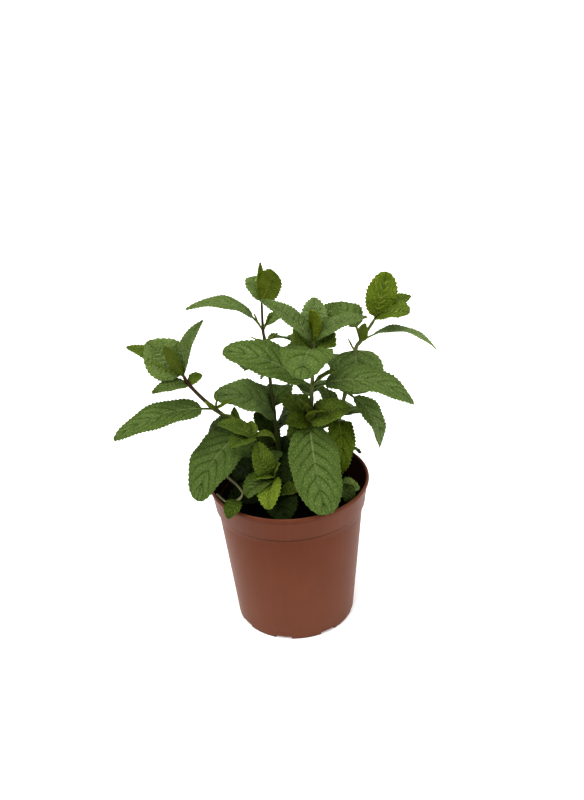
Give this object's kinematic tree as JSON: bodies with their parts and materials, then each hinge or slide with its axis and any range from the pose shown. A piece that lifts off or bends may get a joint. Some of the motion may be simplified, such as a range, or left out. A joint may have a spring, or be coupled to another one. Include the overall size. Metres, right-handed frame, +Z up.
{
  "type": "potted mint plant",
  "caption": "Bushy mint plant with upright square stems and toothed leaves, in a tapered plastic nursery pot filled with compost.",
  "frame": {"origin": "centre of the pot's underside, on the pad in its middle", "axes": "+Z up the pot's axis and the plant, -Y towards the side that the plant is usually seen from, +X to the viewer's right"},
  "size_m": [0.2032, 0.132, 0.241],
  "materials": {
    "terracotta_plastic": "satin",
    "compost": "matte",
    "foliage": "satin"
  },
  "bodies": {
    "root": {"pot": "terracotta_plastic", "compost": "compost", "stem_left": "foliage", "stem_back_left": "foliage", "stem_centre": "foliage", "stem_right": "foliage", "stem_back": "foliage", "shoot_left": "foliage", "shoot_front": "foliage", "shoot_right": "foliage", "runner_left": "foliage"}
  },
  "joints": []
}
